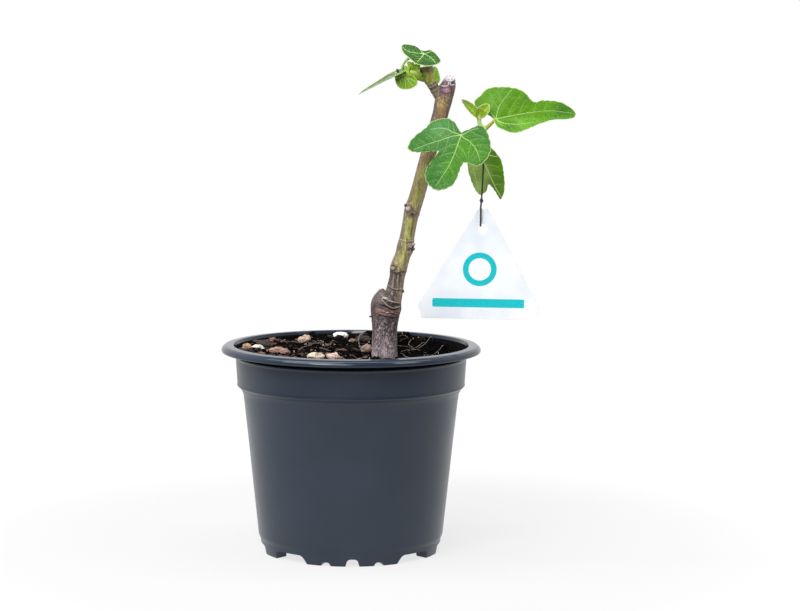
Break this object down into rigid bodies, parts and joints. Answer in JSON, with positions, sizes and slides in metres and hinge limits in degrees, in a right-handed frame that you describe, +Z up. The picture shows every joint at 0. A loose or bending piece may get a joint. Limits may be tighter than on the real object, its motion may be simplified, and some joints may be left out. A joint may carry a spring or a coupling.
{
  "type": "young fig tree in a pot",
  "caption": "Young fig tree grown from a cutting, with lobed leaves on short shoots and a blank card label on a thread, in a round plastic nursery pot filled with soil.",
  "frame": {"origin": "middle of the pot's flat foot, on the surface that it stands on", "axes": "+Z up, +X to the right as the plant is seen from its front, -Y towards the viewer"},
  "size_m": [0.1896, 0.14, 0.2728],
  "materials": {
    "pot_plastic": "satin",
    "peat": "matte",
    "tan_stone": "matte",
    "white_stone": "matte",
    "bark_chip": "matte",
    "bark": "matte",
    "green_bark": "satin",
    "leaf": "satin",
    "card": "satin",
    "thread": "matte"
  },
  "bodies": {
    "root": {"pot": "pot_plastic", "soil": "peat", "stone_tan_left": "tan_stone", "stone_cream_left": "white_stone", "stone_white_left": "white_stone", "stone_grey": "tan_stone", "stone_white_back": "white_stone", "stone_tan_front": "tan_stone", "stone_pink": "white_stone", "stone_tan_back": "tan_stone", "stone_cream_right": "white_stone", "stone_white_front": "white_stone", "stone_tan_right": "tan_stone", "bark_left": "bark_chip", "bark_red_left": "bark_chip", "bark_red_back": "bark_chip", "bark_front": "bark_chip", "clod_back": "peat", "trunk": "bark", "bough_left": "green_bark", "bough_right": "green_bark", "leaves_left_shoot": "leaf", "leaf_front": "leaf", "leaf_hanging": "leaf", "leaves_right_shoot": "leaf", "label": "card", "label_thread": "thread"}
  },
  "joints": []
}
